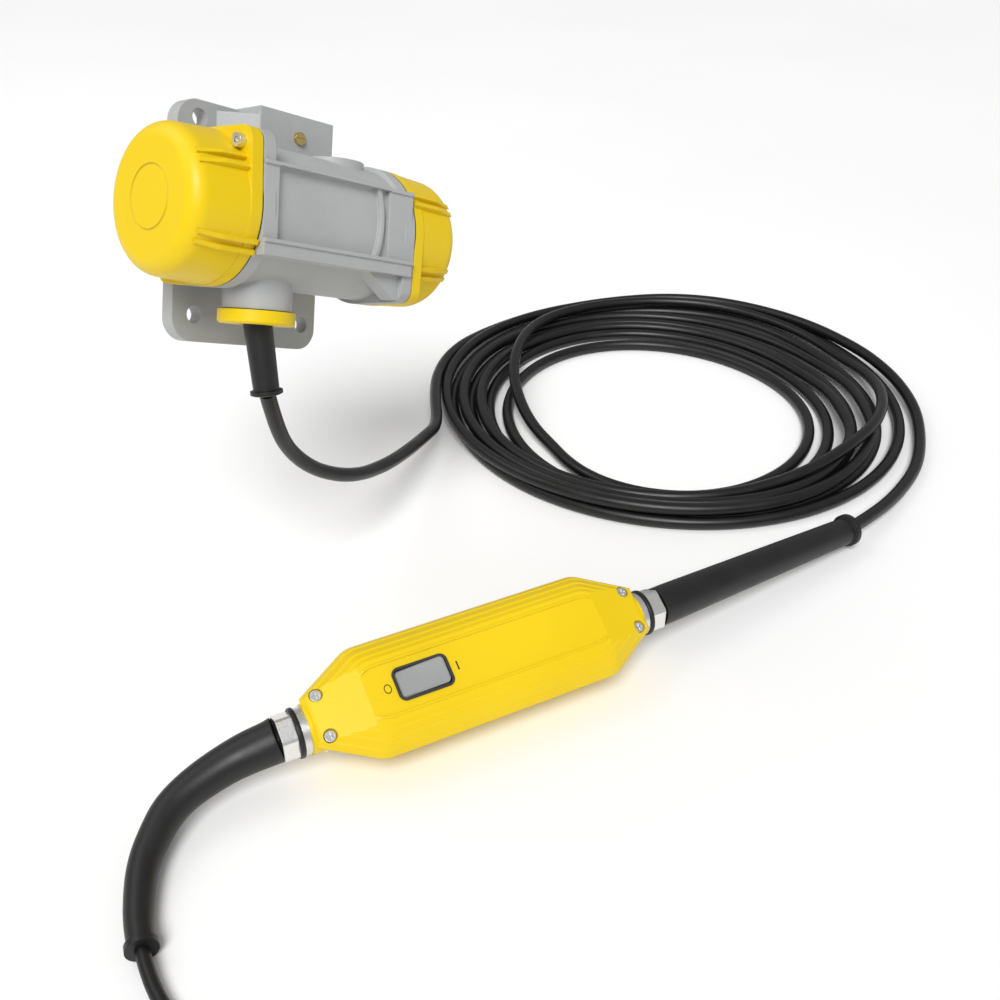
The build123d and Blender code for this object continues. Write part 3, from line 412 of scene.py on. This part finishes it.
# Turn number, radius and layer.
MAINS_KEYS = [
    (0, 0.0575, 0), (1, 0.0565, 0), (2, 0.0490, 0), (3, 0.0405, 0),
    (3.5, 0.0385, 0.6), (4, 0.0420, 1.0), (5, 0.0500, 1.0), (6, 0.0570, 1.0), (6.5, 0.0570, 1.0),
]
MAINS_START = 12  # degrees
MAINS_PER_TURN = 16
MAINS_GAP = 0.0002
mains_points = []
for step in range(int(MAINS_KEYS[-1][0] * MAINS_PER_TURN)):
    turn = step / MAINS_PER_TURN
    radius, layer = eased(MAINS_KEYS, turn)
    angle = math.radians(MAINS_START - 360 * turn)
    at = MAINS_CENTRE + radius * Vector((math.cos(angle), math.sin(angle)))
    mains_points.append((at.x, at.y, FLOOR + MAINS_D / 2 + MAINS_GAP + MAINS_D * layer))
mains = spline_curve("mains_lead_cord", MAINS_LEAD + mains_points + PLUG_TAIL, MAINS_D, "cable_rubber")
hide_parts("mains_lead", "mains_coil", "plug_tail")


# ---------------- small pieces ----------------
def mesh_piece(name, shape, finish):
    """A smooth-shaded piece on the frame, made from a finished bmesh."""
    data = bpy.data.meshes.new(name)
    shape.to_mesh(data)
    shape.free()
    for face in data.polygons:
        face.use_smooth = True
    data.materials.append(MATS[finish])
    made = bpy.data.objects.new(name, data)
    scene.collection.objects.link(made)
    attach(made, "frame")


def middle(node):
    low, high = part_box(node)
    return (low + high) / 2


def closed_loop(rows):
    """Joins rows of four points, each to the next and the last to the first, into one skin."""
    shape = bmesh.new()
    rows = [[shape.verts.new(point) for point in row] for row in rows]
    for one, two in zip(rows, rows[1:] + rows[:1]):
        for i in range(4):
            shape.faces.new((one[i], one[(i + 1) % 4], two[(i + 1) % 4], two[i]))
    bmesh.ops.recalc_face_normals(shape, faces=shape.faces)
    return shape


# The on and off marks printed beside the rocker: a ring and a bar, flush on the face.
FACE_ABOVE_PIN = 0.0030
MARK_X = 0.0237  # from the rocker's pin, along the converter
MARK_T = 0.0001
RING_IN, RING_OUT, RING_STRETCH = 0.00195, 0.00245, 1.25
RING_STEPS = 48
BAR_WIDTH, BAR_LENGTH = 0.0010, 0.0060
tip = next(j for j in frame["record"]["behaviour"]["joints"] if j["name"] == "switch_tip")
along = (middle("right_gland_nut") - middle("left_gland_nut")).normalized()
across = Vector(tip["axis"]).normalized()
normal = along.cross(across).normalized()
face_at = Vector(tip["pos_m"]) + normal * FACE_ABOVE_PIN
face_turn = Matrix((along, across, normal)).transposed().to_4x4()


def set_on_face(shape, x):
    """Moves a mark drawn round its own origin to its place along the converter's face."""
    place = Matrix.Translation(face_at + along * x) @ face_turn
    bmesh.ops.transform(shape, matrix=place, verts=shape.verts)
    return shape


mark_low, mark_high = -0.2 * MARK_T, 0.8 * MARK_T
ring_section = [(RING_IN, mark_low), (RING_IN, mark_high), (RING_OUT, mark_high), (RING_OUT, mark_low)]
ring_rows = []
for step in range(RING_STEPS):
    angle = 2 * math.pi * step / RING_STEPS
    x, y = math.cos(angle), math.sin(angle) * RING_STRETCH
    ring_rows.append([(radius * x, radius * y, z) for radius, z in ring_section])
mesh_piece("off_mark", set_on_face(closed_loop(ring_rows), -MARK_X), "dark_plastic")

bar = bmesh.new()
bmesh.ops.create_cube(bar, size=1.0, matrix=Matrix.Diagonal((BAR_WIDTH, BAR_LENGTH, MARK_T, 1.0)))
bmesh.ops.bevel(bar, geom=bar.edges[:], offset=0.3 * MARK_T, segments=1, affect="EDGES")
bmesh.ops.transform(bar, matrix=Matrix.Translation((0, 0, 0.3 * MARK_T)), verts=bar.verts)
mesh_piece("on_mark", set_on_face(bar, MARK_X), "dark_plastic")

# A strap closed round the mains coil's turns: a rounded loop across them.
STRAP_AT = math.radians(-60)
STRAP_IN, STRAP_OUT, STRAP_TOP = 0.0335, 0.0630, 0.0250
STRAP_WIDTH, STRAP_T = 0.014, 0.0012
STRAP_STEPS = 64
STRAP_EDGE = 0.96  # how much of the width the outer side keeps, inside its chamfers
SQUARENESS = 4
up = Vector((0, 0, 1))
outward = Vector((math.cos(STRAP_AT), math.sin(STRAP_AT), 0))
sideways = Vector((-math.sin(STRAP_AT), math.cos(STRAP_AT), 0))
half_r, half_z = (STRAP_OUT - STRAP_IN) / 2, STRAP_TOP / 2
strap_centre = (
    MAINS_CENTRE.to_3d() + up * (FLOOR + half_z + FLOOR_GAP) + outward * (STRAP_IN + STRAP_OUT) / 2
)
strap_rows = []
for step in range(STRAP_STEPS):
    angle = 2 * math.pi * step / STRAP_STEPS
    x, z = math.cos(angle), math.sin(angle)
    reach = (abs(x) ** SQUARENESS + abs(z) ** SQUARENESS) ** (-1 / SQUARENESS)
    # below the turns the strap lies thin, so that it stays above the floor
    upright = MAINS_GAP if z < 0 else STRAP_T
    outer = (STRAP_T, upright)
    row = []
    for (thick, lift), slide in (((0, 0), -1), (outer, -STRAP_EDGE), (outer, STRAP_EDGE), ((0, 0), 1)):
        at = strap_centre + outward * (half_r + thick) * x * reach + up * (half_z + lift) * z * reach
        row.append(at + sideways * slide * STRAP_WIDTH / 2)
    strap_rows.append(row)
mesh_piece("mains_coil_tie", closed_loop(strap_rows), "dark_plastic")


# ---------------- floor and light ----------------
floor_mesh = bpy.data.meshes.new("floor")
shape = bmesh.new()
bmesh.ops.create_grid(shape, x_segments=1, y_segments=1, size=6)
shape.to_mesh(floor_mesh)
shape.free()
floor = bpy.data.objects.new("floor", floor_mesh)
floor.location = (0, 0, FLOOR)
scene.collection.objects.link(floor)
floor_look = Shader("floor", Specular_IOR_Level=0.2)
mottle = [(0.3, (0.91, 0.91, 0.91)), (0.7, (0.93, 0.93, 0.93))]
floor_look.colour(floor_look.ramp(floor_look.noise(2, 2, 0.5), mottle))
floor_look.rough(floor_look.span(floor_look.noise(60, 2, 0.5), 0.72, 0.80))
floor_mesh.materials.append(floor_look.mat)

world = bpy.data.worlds.new("world")
scene.world = world
world.use_nodes = True
world.node_tree.nodes["Background"].inputs["Color"].default_value = (1, 1, 1, 1)
world.node_tree.nodes["Background"].inputs["Strength"].default_value = 0.40


def lamp(kind, name, at, towards, power, **settings):
    """A lamp at one point, turned to face another."""
    data = bpy.data.lights.new(name, kind)
    data.energy = power
    for key, value in settings.items():
        setattr(data, key, value)
    made = bpy.data.objects.new(name, data)
    made.location = at
    made.rotation_mode = "QUATERNION"
    made.rotation_quaternion = (Vector(towards) - Vector(at)).to_track_quat("-Z", "Y")
    scene.collection.objects.link(made)


lamp("SUN", "key_sun", (-0.50, -0.40, 0.77), (0, 0, 0), 2.55, angle=math.radians(28))
lamp("AREA", "rim", (-0.5, 0.9, 1.3), (0.1, -0.05, -0.2), 6, shape="DISK", size=1.2)
scene.view_settings.view_transform = "Standard"
